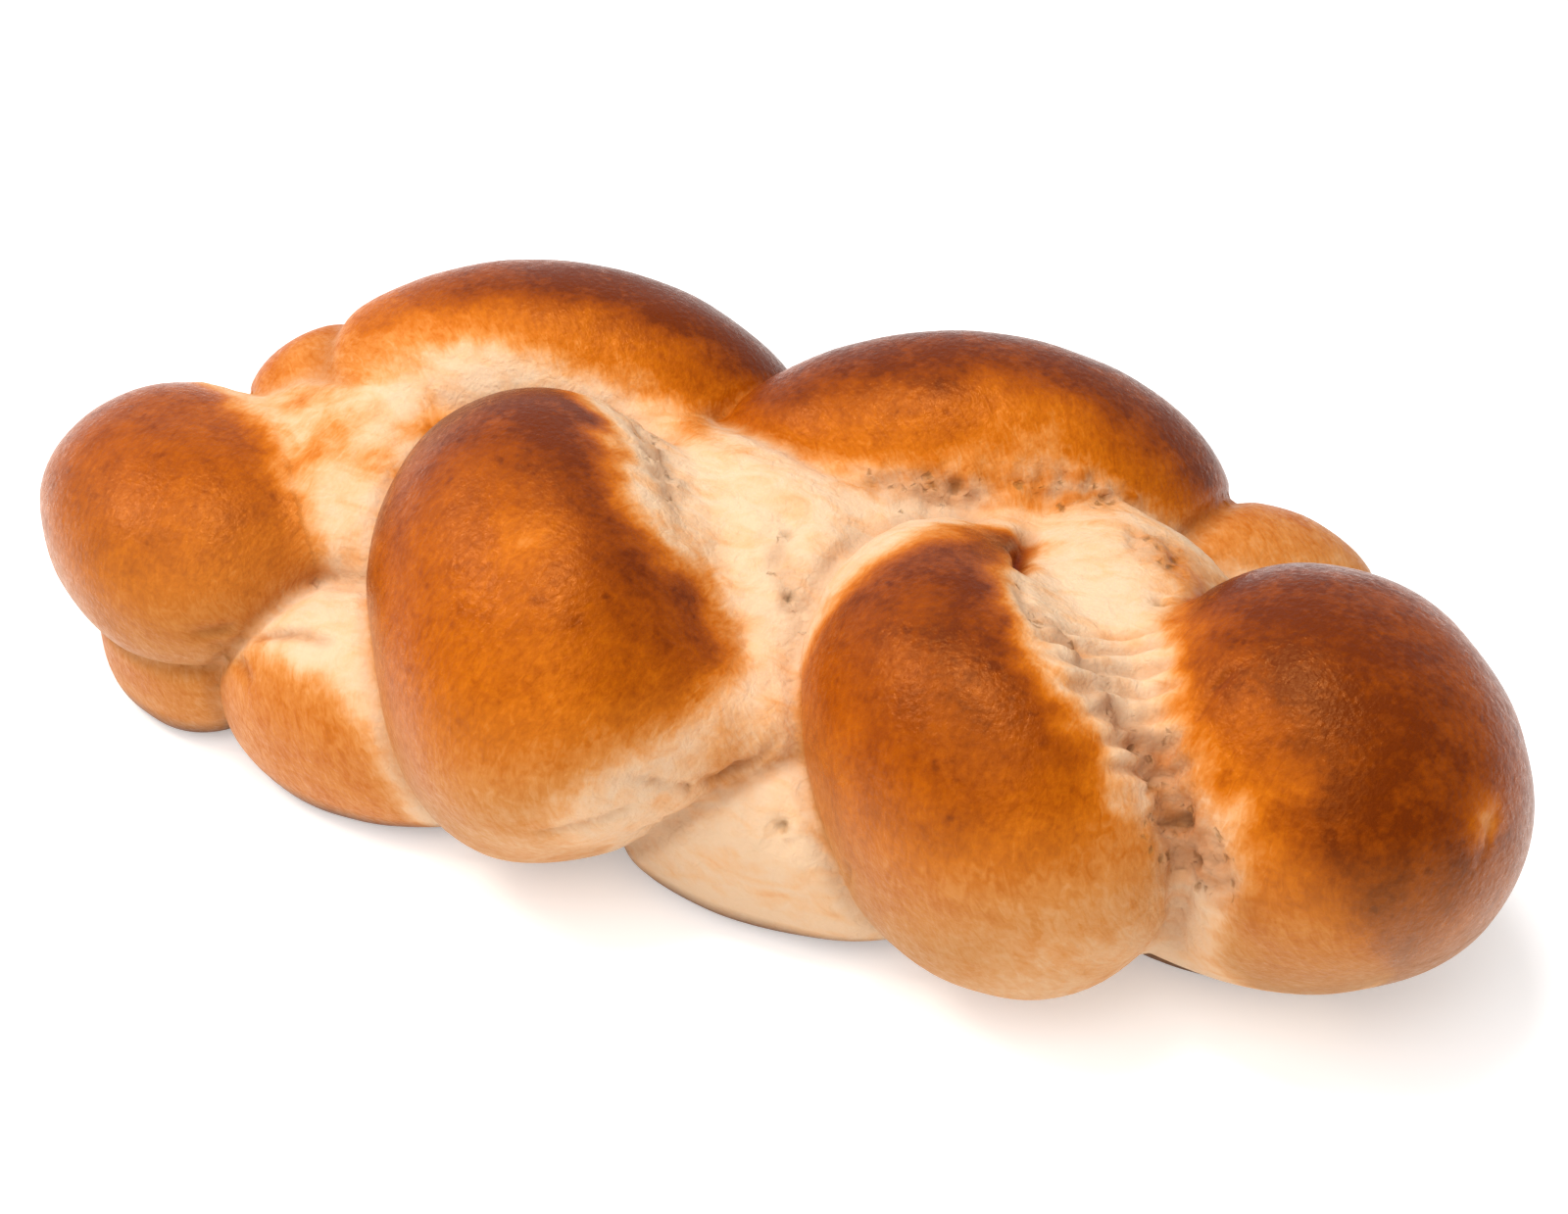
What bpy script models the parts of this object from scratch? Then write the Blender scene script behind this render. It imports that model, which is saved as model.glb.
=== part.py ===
"""Braided loaf: four strands of dough plaited on edge, risen and baked into one piece.

Wherever a strand crosses the top of the plait, or turns under at its side, it swells into a
lobe. A lobe starts as a ball with its poles along the strand, which shape_lobe() stretches,
bows and arches. The lobes and the dough between them are fused by a voxel remesh, relaxed as
risen dough is, thinned, and cut flat where the loaf sat on the baking sheet.

Metres, +Z up. X runs along the loaf, and its front side faces -Y.
"""

import math

import bpy
from mathutils import Vector

MM = 0.001

# The middle of the plait, in millimetres; the lobes' own sizes stand in their rows below
CORE_LENGTH = 236
CORE_GIRTH = 42
UNDERSIDE_SPREAD = 1.1

# The block that cuts the underside flat, in metres
TABLE_MARGIN = 60 * MM
TABLE_DEPTH = 40 * MM

# How finely the lobes are drawn and fused
LOBE_SEGMENTS = 40
LOBE_RINGS = 32
FUSE_VOXEL = 2.0 * MM
RELAX_FACTOR = 0.5
RELAX_STEPS = 3
THIN_RATIO = 0.12

# Superellipse powers: 2 is round, and more is squarer
LOBE_BLUNT = 2.2
SAG_POWER = 2.8

CRUST_COLOUR = (0.42, 0.13, 0.02, 1.0)
CRUST_ROUGHNESS = 0.45


def clear_scene():
    for thing in list(bpy.data.objects):
        bpy.data.objects.remove(thing, do_unlink=True)


def new_collection(name):
    group = bpy.data.collections.new(name)
    bpy.context.scene.collection.children.link(group)
    return group


def move_to(thing, group):
    for holder in list(thing.users_collection):
        holder.objects.unlink(thing)
    group.objects.link(thing)


def crust_material():
    crust = bpy.data.materials.new("crust")
    crust.use_nodes = True
    shader = crust.node_tree.nodes["Principled BSDF"]
    shader.inputs["Base Color"].default_value = CRUST_COLOUR
    shader.inputs["Roughness"].default_value = CRUST_ROUGHNESS
    shader.inputs["Metallic"].default_value = 0.0
    return crust


def section(angle, tall):
    """A point on a lobe's unit section: round above, squarer below, where dough sags."""
    across = math.cos(angle)
    above = math.sin(angle)
    if above < 0:
        reach = (abs(across) ** SAG_POWER + abs(above) ** SAG_POWER) ** (-1 / SAG_POWER)
        across *= reach
        above *= reach
    return across, above * tall


def shape_lobe(ball, x, y, z, heading, length, girth, bow=0, fall=0, arch=0, tall=1, taper=0,
               blunt=LOBE_BLUNT):
    """Turns a unit ball into a lobe. Lengths in millimetres, heading in degrees from +X.

    bow bends the middle to the left of the heading, fall is how much lower the far end lies,
    arch lifts the middle, tall is height over width, taper thickens the far end, and blunt is
    how square the ends are.
    """
    turn = math.radians(heading)
    forward = Vector((math.cos(turn), math.sin(turn), 0))
    leftward = Vector((-math.sin(turn), math.cos(turn), 0))
    upward = Vector((0, 0, 1))
    middle = Vector((x, y, z))
    for vertex in ball.data.vertices:
        along = max(-1.0, min(1.0, vertex.co.z))
        bulge = 0.5 - along * along
        spine = middle + forward * (along * length / 2) + leftward * (bow * bulge)
        spine += upward * (arch * bulge - fall * along / 2)
        course = forward * (length / 2) - leftward * (2 * bow * along)
        course -= upward * (2 * arch * along + fall / 2)
        course.normalize()
        side = course.cross(upward).normalized()
        over = side.cross(course)
        radius = girth * max(0.0, 1 - abs(along) ** blunt) ** (1 / blunt)
        radius *= 1 + taper * along
        across, above = section(math.atan2(vertex.co.y, vertex.co.x), tall)
        place = spine + side * (radius * across) + over * (radius * above)
        vertex.co = place * MM


def add_lobe(name, group, **shape):
    bpy.ops.mesh.primitive_uv_sphere_add(segments=LOBE_SEGMENTS, ring_count=LOBE_RINGS, radius=1)
    ball = bpy.context.active_object
    ball.name = name
    move_to(ball, group)
    shape_lobe(ball, **shape)
    return ball


def front_top_lobes(group):
    """Strands that run from the middle of the top down to the front foot of the loaf."""
    return [
        add_lobe("front_end", group, x=-115.5, y=-24.5, z=34.3, heading=-34, length=73, girth=29,
                 fall=8, arch=4, tall=0.71),
        add_lobe("front_left", group, x=-28.4, y=-32.2, z=37, heading=-54, length=86, girth=34,
                 bow=-4, fall=25, arch=11, tall=0.95, taper=0.06, blunt=2.8),
        add_lobe("front_right", group, x=60, y=-29.5, z=37, heading=-47, length=85, girth=28,
                 bow=-21, fall=21, arch=9, tall=1.05, taper=0.19, blunt=2.4),
        add_lobe("stretched", group, x=78.5, y=-11.5, z=36.5, heading=-62, length=86, girth=21,
                 bow=-3, fall=15, arch=10),
        add_lobe("front_last", group, x=115.2, y=-22.5, z=34.8, heading=-52, length=71, girth=35.6,
                 fall=14, arch=6),
    ]


def back_top_lobes(group):
    """Strands that run from the middle of the top down to the back of the loaf."""
    return [
        add_lobe("back_end", group, x=-98, y=17, z=37.3, heading=20, length=50, girth=21.5,
                 arch=4),
        add_lobe("back_left", group, x=-59, y=26, z=41, heading=16, length=105, girth=28,
                 bow=6, fall=6, arch=14),
        add_lobe("back_right", group, x=29, y=30, z=41.5, heading=18, length=103, girth=29,
                 bow=6, fall=5, arch=12, taper=0.05),
        add_lobe("back_last", group, x=83.5, y=37, z=28, heading=20, length=56, girth=20,
                 fall=8, arch=4),
    ]


def low_lobes(group):
    """Turns of the strands low on both sides, between the feet of the lobes above."""
    return [
        add_lobe("low_front_end", group, x=-111, y=-34, z=14, heading=-20, length=46,
                 girth=17.5),
        add_lobe("low_front_left", group, x=-63, y=-42.5, z=18, heading=-8, length=74, girth=22,
                 fall=-8),
        add_lobe("low_front_right", group, x=22.5, y=-41, z=18, heading=-6, length=80, girth=22,
                 fall=-8),
        add_lobe("low_front_last", group, x=98, y=-24, z=12, heading=-8, length=50, girth=16,
                 fall=-4),
        add_lobe("low_back_left", group, x=-92, y=38, z=18, heading=10, length=64, girth=19,
                 fall=-6),
        add_lobe("low_back_middle", group, x=-6, y=43, z=19, heading=12, length=76, girth=22,
                 fall=-8),
        add_lobe("low_back_right", group, x=64, y=40, z=18, heading=10, length=66, girth=20,
                 fall=-6),
    ]


def dough_between(group):
    """The middle of the plait, its broad underside, and the dough stretched across its valleys."""
    return [
        add_lobe("core", group, x=0, y=0, z=28, heading=0, length=CORE_LENGTH, girth=CORE_GIRTH,
                 arch=4, tall=0.72),
        add_lobe("underside", group, x=0, y=0, z=10, heading=0, length=CORE_LENGTH,
                 girth=CORE_GIRTH * UNDERSIDE_SPREAD, tall=0.5),
        add_lobe("left_valley", group, x=-84, y=-8, z=38, heading=-40, length=70, girth=20,
                 fall=10, arch=4, tall=0.9),
        add_lobe("middle_valley", group, x=4, y=-8, z=42, heading=-50, length=80, girth=20,
                 fall=14, arch=6, tall=0.9),
        add_lobe("front_fold", group, x=9, y=-47, z=35, heading=16, length=52, girth=12.5,
                 fall=-6),
    ]


def join(lobes, name):
    bpy.ops.object.select_all(action="DESELECT")
    for lobe in lobes:
        lobe.select_set(True)
    bpy.context.view_layer.objects.active = lobes[0]
    bpy.ops.object.join()
    joined = bpy.context.active_object
    joined.name = name
    return joined


def centre_on_z_axis(loaf):
    """Puts the middle of the loaf's outline, seen from above, on the Z axis."""
    for axis in range(2):
        places = [vertex.co[axis] for vertex in loaf.data.vertices]
        middle = (min(places) + max(places)) / 2
        for vertex in loaf.data.vertices:
            vertex.co[axis] -= middle


def add_table(loaf, group):
    """A block under the ground plane, which cuts the underside flat."""
    length, width = (side + TABLE_MARGIN for side in loaf.dimensions[:2])
    bpy.ops.mesh.primitive_cube_add(size=1, location=(0, 0, -TABLE_DEPTH / 2))
    table = bpy.context.active_object
    table.name = "table_cutter"
    table.scale = (length, width, TABLE_DEPTH)
    bpy.ops.object.transform_apply(location=False, rotation=False, scale=True)
    table.hide_render = True
    table.display_type = "WIRE"
    move_to(table, group)
    return table


def fuse(loaf, table):
    remesh = loaf.modifiers.new("fuse", "REMESH")
    remesh.mode = "VOXEL"
    remesh.voxel_size = FUSE_VOXEL
    relax = loaf.modifiers.new("relax", "SMOOTH")
    relax.factor = RELAX_FACTOR
    relax.iterations = RELAX_STEPS
    thin = loaf.modifiers.new("thin", "DECIMATE")
    thin.ratio = THIN_RATIO
    flatten = loaf.modifiers.new("flatten", "BOOLEAN")
    flatten.operation = "DIFFERENCE"
    flatten.solver = "EXACT"
    flatten.object = table


def build():
    clear_scene()
    parts = new_collection("braided_loaf")
    cutters = new_collection("cutters")
    lobes = front_top_lobes(parts) + back_top_lobes(parts) + low_lobes(parts) + dough_between(parts)
    loaf = join(lobes, "loaf")
    centre_on_z_axis(loaf)
    loaf.data.materials.clear()
    loaf.data.materials.append(crust_material())
    loaf.data.shade_smooth()
    fuse(loaf, add_table(loaf, cutters))


build()
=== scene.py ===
import math

import bpy
import numpy as np
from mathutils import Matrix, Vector, noise


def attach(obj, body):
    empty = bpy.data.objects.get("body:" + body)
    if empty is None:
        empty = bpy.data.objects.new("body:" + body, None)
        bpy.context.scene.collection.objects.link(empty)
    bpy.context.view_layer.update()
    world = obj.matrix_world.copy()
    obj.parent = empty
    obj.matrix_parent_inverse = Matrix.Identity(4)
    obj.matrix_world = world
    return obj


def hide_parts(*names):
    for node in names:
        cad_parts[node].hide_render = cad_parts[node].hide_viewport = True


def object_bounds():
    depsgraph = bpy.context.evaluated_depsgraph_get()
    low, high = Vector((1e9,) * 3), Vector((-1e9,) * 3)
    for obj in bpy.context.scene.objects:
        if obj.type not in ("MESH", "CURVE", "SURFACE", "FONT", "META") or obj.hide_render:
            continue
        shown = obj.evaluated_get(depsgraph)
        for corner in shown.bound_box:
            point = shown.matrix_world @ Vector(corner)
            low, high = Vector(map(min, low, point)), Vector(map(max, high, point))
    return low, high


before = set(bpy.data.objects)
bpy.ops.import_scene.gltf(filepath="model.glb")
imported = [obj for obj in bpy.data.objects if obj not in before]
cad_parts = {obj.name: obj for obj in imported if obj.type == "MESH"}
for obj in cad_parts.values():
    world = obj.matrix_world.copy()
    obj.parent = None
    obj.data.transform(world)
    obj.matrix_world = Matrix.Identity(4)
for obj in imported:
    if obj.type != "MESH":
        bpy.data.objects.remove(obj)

cadLow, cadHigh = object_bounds()
mm = 0.001
print("frame loaded, loaf box", [round(v / mm) for v in cadHigh - cadLow], "mm")


def hexToLinear(text):
    # sRGB hex to the linear colour that the shader wants
    parts = [int(text[i:i + 2], 16) / 255 for i in (1, 3, 5)]
    return [c / 12.92 if c <= 0.04045 else ((c + 0.055) / 1.055) ** 2.4 for c in parts] + [1.0]


def smoothStep(low, high, value):
    t = np.clip((value - low) / (high - low), 0, 1)
    return t * t * (3 - 2 * t)


def noiseAt(points, size, seed=0.0, octaves=1):
    # Perlin noise, about -1 to 1, with lumps of about this size in millimetres
    scaled = points / size + seed
    if octaves == 1:
        values = [noise.noise(p) for p in scaled.tolist()]
    else:
        values = [noise.fractal(p, 0.9, 2.1, octaves) for p in scaled.tolist()]
    return np.array(values)


def deselectAll():
    bpy.ops.object.select_all(action="DESELECT")


# Each lobe is where one strand of the plait swells between two crossings, in millimetres and
# degrees. x, y, z is its middle and heading the way its strand runs down to its foot. Round
# the strand, 0 degrees is the right hand side of the heading, 90 the top and 180 the left.
# bow bends its middle to the left, fall is how much lower its foot lies and arch lifts its
# middle. tall is height over width, taper thickens the foot, and blunt squares both ends.
# soft: where its side starts and ends to melt into its neighbours; without it all is crisp,
# and so is the near end as far as crispBefore, which runs from -1 to 1 as along does.
# wash: where it was brushed with egg, a row for each place along: (along, from, to).
# tone: how dark that baked, as (angle, strength) pairs, and fade the same along the strand.
# low: how much of that colour is left down at the baking sheet, and dull how much painted shade
# darkens and dulls it there.
lobes = {
    "frontEnd": dict(
        x=-115.5, y=-24.5, z=34.3, heading=-34, length=73, girth=29, fall=8, arch=4, tall=0.71,
        soft=(95, 125),
        wash=[(-1.2, -90, 119), (0.3, -90, 118), (0.6, -90, 121), (0.85, -90, 127),
              (1.2, -90, 140)],
        tone=[(10, 0.7), (70, 0.78), (110, 0.78)], low=0.6,
        fade=[(-0.5, 1.05), (0.5, 0.95), (1.0, 0.7)]),
    "frontLeft": dict(
        x=-28.4, y=-32.2, z=37, heading=-54, length=86, girth=34, bow=-4, fall=25, arch=11,
        tall=0.95, taper=0.06, blunt=2.8, soft=(75, 100), crispBefore=-0.6,
        wash=[(-1.2, -90, 120), (-0.7, -90, 106), (-0.33, -90, 110), (-0.03, -90, 115),
              (0.25, -90, 126), (0.4, -90, 138), (0.6, -90, 142), (0.72, -90, 128),
              (0.82, -90, 98), (0.9, -90, 62), (1.0, -90, 34), (1.2, -90, 20)],
        tone=[(20, 0.74), (60, 0.78), (85, 0.84), (112, 1.0)],
        fade=[(-0.6, 1.26), (-0.3, 1.12), (0.0, 0.98), (0.3, 0.92), (0.6, 0.84), (0.8, 0.66),
              (1.0, 0.4)]),
    "frontRight": dict(
        x=60, y=-29.5, z=37, heading=-47, length=85, girth=28, bow=-21, fall=21, arch=9,
        tall=1.05, taper=0.19, blunt=2.4, soft=(95, 120),
        wash=[(-0.8, 108, 142), (-0.5, 88, 128), (-0.4, 70, 119), (-0.3, 45, 115),
              (-0.2, -10, 112), (-0.1, -90, 110), (0.0, -90, 107), (0.3, -90, 92),
              (0.5, -90, 84), (0.75, -90, 78), (0.92, -90, 70), (1.2, -90, 60)],
        tone=[(10, 0.7), (50, 0.88), (90, 0.95)], low=0.3,
        fade=[(0.2, 1.0), (0.45, 0.94), (0.65, 0.74), (0.82, 0.5), (1.0, 0.38)]),
    "stretched": dict(
        x=78.5, y=-11.5, z=36.5, heading=-62, length=86, girth=21, bow=-3, fall=15, arch=10,
        soft=(0, 0)),
    "frontLast": dict(
        x=115.2, y=-22.5, z=34.8, heading=-52, length=71, girth=35.6, fall=14, arch=6,
        soft=(65, 35),
        wash=[(-1.2, 50, 290), (-0.68, 46, 290), (-0.26, 41, 290), (0.07, 38, 290),
              (0.45, 40, 290), (0.62, 26, 290), (0.8, -30, 290), (1.0, -80, 290),
              (1.2, -80, 290)],
        tone=[(-60, 0.56), (40, 0.62), (54, 0.8), (66, 0.97), (95, 0.97), (125, 0.86), (180, 0.8)],
        low=0.6,
        fade=[(0.3, 1.0), (0.7, 1.0), (1.0, 0.9)]),
    "backEnd": dict(
        x=-98, y=17, z=37.3, heading=20, length=50, girth=21.5, arch=4, soft=(70, 40),
        wash=[(-1.2, 50, 290), (1.2, 60, 290)], tone=[(60, 0.5), (110, 0.62)]),
    "backLeft": dict(
        x=-59, y=26, z=41, heading=16, length=105, girth=28, bow=6, fall=6, arch=14,
        soft=(65, 40),
        wash=[(-1.2, 32, 290), (-0.56, 44, 290), (-0.29, 47, 290), (0.0, 47, 290),
              (0.3, 43, 290), (1.2, 38, 290)],
        tone=[(50, 0.5), (68, 0.74), (84, 1.0), (120, 0.94)],
        fade=[(-0.8, 0.46), (-0.3, 0.88), (0.2, 1.06), (0.5, 1.14)]),
    "backRight": dict(
        x=29, y=30, z=41.5, heading=18, length=103, girth=29, bow=6, fall=5, arch=12,
        taper=0.05, soft=(50, 25),
        wash=[(-1.2, 40, 290), (-0.58, 40, 290), (-0.39, 30, 290), (-0.1, 26, 290),
              (0.2, 22, 290), (0.5, 24, 290), (0.83, 36, 290), (1.2, 50, 290)],
        tone=[(26, 0.46), (44, 0.6), (60, 0.74), (80, 0.98), (120, 0.94)],
        fade=[(-0.9, 0.85), (-0.4, 1.0)]),
    "backLast": dict(
        x=83.5, y=37, z=28, heading=20, length=56, girth=20, fall=8, arch=4, soft=(60, 30),
        wash=[(-1.2, 50, 290), (1.2, 50, 290)], tone=[(60, 0.42), (110, 0.6)],
        fade=[(-0.3, 1.1), (0.5, 0.8)]),
    "lowFrontEnd": dict(
        x=-111, y=-34, z=14, heading=-20, length=46, girth=17.5, paintedFootShade=0.4,
        wash=[(-1.2, -90, 130), (1.2, -90, 130)], tone=[(0, 0.8), (90, 0.75)]),
    "lowFrontLeft": dict(
        x=-63, y=-42.5, z=18, heading=-8, length=74, girth=22, fall=-8, soft=(100, 130), paintedFootShade=0.3,
        wash=[(-1.2, -90, 56), (-0.5, -90, 50), (0.1, -90, 42), (0.35, -90, 20), (0.5, -90, -40)],
        tone=[(0, 0.66), (50, 0.5)], low=0.6),
    "lowFrontRight": dict(
        x=22.5, y=-41, z=18, heading=-6, length=80, girth=22, fall=-8, soft=(100, 130)),
    "lowFrontLast": dict(
        x=98, y=-24, z=12, heading=-8, length=50, girth=16, fall=-4),
    "lowBackLeft": dict(
        x=-92, y=38, z=18, heading=10, length=64, girth=19, fall=-6,
        wash=[(-1.2, 100, 290), (1.2, 100, 290)], tone=[(100, 0.66), (180, 0.8)], low=0.6),
    "lowBackMiddle": dict(
        x=-6, y=43, z=19, heading=12, length=76, girth=22, fall=-8,
        wash=[(-1.2, 100, 290), (1.2, 100, 290)], tone=[(100, 0.6), (180, 0.7)]),
    "lowBackRight": dict(
        x=64, y=40, z=18, heading=10, length=66, girth=20, fall=-6,
        wash=[(-1.2, 100, 290), (1.2, 100, 290)], tone=[(100, 0.6), (180, 0.7)]),
    "core": dict(
        x=0, y=0, z=28, heading=0, length=236, girth=42, arch=4, tall=0.72, soft=(0, 0)),
    "underside": dict(
        x=0, y=0, z=10, heading=0, length=236, girth=46.2, tall=0.5),
    "leftValley": dict(
        x=-84, y=-8, z=38, heading=-40, length=70, girth=20, fall=10, arch=4, tall=0.9,
        soft=(0, 0)),
    "middleValley": dict(
        x=4, y=-8, z=42, heading=-50, length=80, girth=20, fall=14, arch=6, tall=0.9,
        soft=(0, 0)),
    # the fold's thin wash is partly its tan colour and partly painted shade, for the shade it lies
    # in under the front left lobe
    "frontFold": dict(
        x=9, y=-47, z=35, heading=16, length=52, girth=12.5, fall=-6, soft=(-60, -20),
        wash=[(-1.2, -90, 70), (1.2, -90, 60)], tone=[(0, 0.26), (60, 0.18)], low=1.0),
}
names = list(lobes)

loafShape = {
    "segments": 64,          # of the ball that each lobe starts as
    "rings": 48,
    "blunt": 2.2,            # 2 is a ball's end, more is blunter
    "sag": 2.8,              # power of the lower half of a section, where dough sags
    "voxel": 1.1,            # mm, about the size of one face
    "quickVoxel": 2.0,
    "farAlong": 1.3,         # how far past a lobe's ends, at 1, places along it are told apart
    "farAway": 60.0,         # mm, the height over a lobe that is given to points far from it
    "nearBy": 22,            # mm past a lobe, where points still count as near it
    "crispBlend": 1.0,       # mm of overlap over which two crisp lobes melt together
    "softBlend": 11.0,       # mm, the same for two soft sides
    "longestStep": 4,        # mm that the skin moves in one round of melting
    "relaxRounds": 9,        # how often soft dough is evened out in each round of melting
    "relaxReach": 14,        # mm between two lobes' skins, over which that fades out
    "darkHeight": 46,        # mm above the baking sheet, where the wash bakes to its full colour
    "featherAngle": 11,      # degrees, how softly the egg wash ends
    "mostSlant": 3,          # how many times softer that gets at most, where it runs slantwise
}


def readPoints(mesh):
    flat = np.empty(len(mesh.vertices) * 3)
    mesh.vertices.foreach_get("co", flat)
    return flat.reshape(-1, 3)


def writePoints(mesh, points):
    mesh.vertices.foreach_set("co", points.ravel())
    mesh.update()


def readNormals(mesh):
    flat = np.empty(len(mesh.vertices) * 3)
    mesh.vertex_normals.foreach_get("vector", flat)
    return flat.reshape(-1, 3)


def readEdges(mesh):
    flat = np.empty(len(mesh.edges) * 2, dtype=np.int64)
    mesh.edges.foreach_get("vertices", flat)
    return flat.reshape(-1, 2)


def spineAt(lobe, along):
    # place, direction and section axes of a lobe's spine, along from -1 to 1
    turn = math.radians(lobe["heading"])
    forward = np.array([math.cos(turn), math.sin(turn), 0])
    leftward = np.array([-math.sin(turn), math.cos(turn), 0])
    upward = np.array([0, 0, 1.0])
    bow, fall, arch = (lobe.get(key, 0) for key in ("bow", "fall", "arch"))
    half = lobe["length"] / 2
    bulge = (0.5 - along * along)[:, None]
    t = along[:, None]
    place = np.array([lobe["x"], lobe["y"], lobe["z"]]) + forward * (t * half)
    place = place + leftward * (bow * bulge) + upward * (arch * bulge - fall * t / 2)
    course = forward * half - leftward * (2 * bow * t) - upward * (2 * arch * t + fall / 2)
    course /= np.linalg.norm(course, axis=1, keepdims=True)
    side = np.cross(course, upward)
    side /= np.linalg.norm(side, axis=1, keepdims=True)
    return place, course, side, np.cross(side, course)


def makeLobe(name, lobe):
    # a ball whose poles lie along the strand, pulled onto the lobe's spine
    bpy.ops.mesh.primitive_uv_sphere_add(segments=loafShape["segments"],
                                         ring_count=loafShape["rings"], radius=1)
    ball = bpy.context.active_object
    ball.name = name
    unit = readPoints(ball.data)
    along = np.clip(unit[:, 2], -1, 1)
    place, course, side, over = spineAt(lobe, along)
    angle = np.arctan2(unit[:, 1], unit[:, 0])
    across, above = np.cos(angle), np.sin(angle)
    sag = loafShape["sag"]
    reach = np.where(above < 0, (abs(across) ** sag + abs(above) ** sag) ** (-1 / sag), 1)
    blunt = lobe.get("blunt", loafShape["blunt"])
    radius = lobe["girth"] * np.maximum(0, 1 - abs(along) ** blunt) ** (1 / blunt)
    radius = (radius * (1 + lobe.get("taper", 0) * along) * reach)[:, None]
    points = place + radius * (across[:, None] * side + lobe.get("tall", 1) * above[:, None] * over)
    writePoints(ball.data, points * mm)
    return ball


def lobeCoordinates(points, lobe):
    # along (-1 to 1), around (degrees) and height above the lobe's skin in millimetres
    turn = math.radians(lobe["heading"])
    forward = np.array([math.cos(turn), math.sin(turn), 0])
    middle = np.array([lobe["x"], lobe["y"], lobe["z"]])
    half = lobe["length"] / 2
    far = loafShape["farAlong"]
    along = np.clip((points - middle) @ forward / half, -far, far)
    for step in range(4):
        # towards the place on the spine that each point lies square to
        place, course, side, over = spineAt(lobe, along)
        along = np.clip(along + ((points - place) * course).sum(1) / half * 0.9, -far, far)
    place, course, side, over = spineAt(lobe, along)
    across = ((points - place) * side).sum(1)
    above = ((points - place) * over).sum(1) / lobe.get("tall", 1)
    sag = loafShape["sag"]
    radius = np.hypot(across, above)
    low = above < 0
    radius[low] = (abs(across[low]) ** sag + abs(above[low]) ** sag) ** (1 / sag)
    girth = lobe["girth"] * (1 + lobe.get("taper", 0) * np.clip(along, -1, 1))
    blunt = lobe.get("blunt", loafShape["blunt"])
    level = (abs(along) ** blunt + (radius / girth) ** blunt) ** (1 / blunt)
    return along, np.degrees(np.arctan2(above, across)), (level - 1) * girth


def softnessOf(lobe, along, around):
    # 0 where this side of the lobe stays crisp, 1 where it melts into its neighbours
    if "soft" not in lobe:
        return np.zeros(len(around))
    crispAt, softAt = lobe["soft"]
    if crispAt == softAt:
        return np.ones(len(around))
    angle = np.where(around < -90, around + 360, around)
    softness = smoothStep(0, 1, (angle - crispAt) / (softAt - crispAt))
    return softness * smoothStep(-0.1, 0.1, along - lobe.get("crispBefore", -2))


def edgeOfWash(lobe, places, limits, along, turned):
    # 0 before this edge of the wash and 1 past it, as soft where the edge runs slantwise
    slope = np.interp(along, (places[1:] + places[:-1]) / 2, np.diff(limits) / np.diff(places))
    slant = np.hypot(1, np.radians(slope) * lobe["girth"] / (lobe["length"] / 2))
    slant = np.minimum(slant, loafShape["mostSlant"])
    past = (turned - np.interp(along, places, limits)) / (loafShape["featherAngle"] * slant)
    return smoothStep(-1, 1, past)


def washOf(lobe, along, around, wobble, rise):
    # how dark this spot of the strand baked under its egg wash, 0 to 1
    if "wash" not in lobe:
        return np.zeros(len(along))
    places, starts, stops = np.array(lobe["wash"]).T
    turned = np.where(around < -90, around + 360, around) + wobble
    inside = edgeOfWash(lobe, places, starts, along, turned)
    inside *= 1 - edgeOfWash(lobe, places, stops, along, turned)
    inside *= smoothStep(-0.05, 0.05, along - places[0])
    inside *= smoothStep(-0.05, 0.05, places[-1] - along)
    angles, strengths = np.array(lobe["tone"]).T
    inside *= np.interp(turned, angles, strengths)
    if "fade" in lobe:
        spots, factors = np.array(lobe["fade"]).T
        inside *= np.interp(along, spots, factors)
    return inside * np.interp(rise, [0, loafShape["darkHeight"]], [lobe.get("low", 0.4), 1])


def spread(values, edges, rounds):
    # evens a value out over the mesh, each vertex taking its neighbours' mean
    count = np.bincount(edges.ravel(), minlength=len(values))
    for step in range(rounds):
        total = np.bincount(edges[:, 0], values[edges[:, 1]], minlength=len(values))
        total += np.bincount(edges[:, 1], values[edges[:, 0]], minlength=len(values))
        values = (values + total) / (count + 1)
    return values


def readLobes(points):
    # along, around and height over each lobe's skin, for every point
    height = np.full((len(names), len(points)), loafShape["farAway"])
    along = np.zeros((len(names), len(points)))
    around = np.zeros((len(names), len(points)))
    for i, name in enumerate(names):
        lobe = lobes[name]
        middle = np.array([lobe["x"], lobe["y"], lobe["z"]])
        reach = lobe["length"] / 2 + lobe["girth"] + loafShape["nearBy"]
        near = np.linalg.norm(points - middle, axis=1) < reach
        along[i, near], around[i, near], height[i, near] = lobeCoordinates(points[near], lobe)
    return along, around, height


def blendLobes(points, edges, along, around, height):
    # height over the lobes melted together, which lobe each point lies nearest, the gap in
    # height to the next lobe, and how soft the dough between the two is, 0 to 1
    columns = np.arange(len(points))
    first, second = np.argsort(height, axis=0)[:2]
    gap = height[second, columns] - height[first, columns]
    soft = np.ones(len(points))
    for i, name in enumerate(names):
        here = (first == i) | (second == i)
        soft[here] *= softnessOf(lobes[name], along[i, here], around[i, here])
    soft = spread(soft, edges, 6)
    blend = loafShape["crispBlend"] + (loafShape["softBlend"] - loafShape["crispBlend"]) * soft
    overlap = np.maximum(0, 1 - gap / blend)
    return height[first, columns] - blend * overlap ** 2 / 4, first, gap, soft


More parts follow.
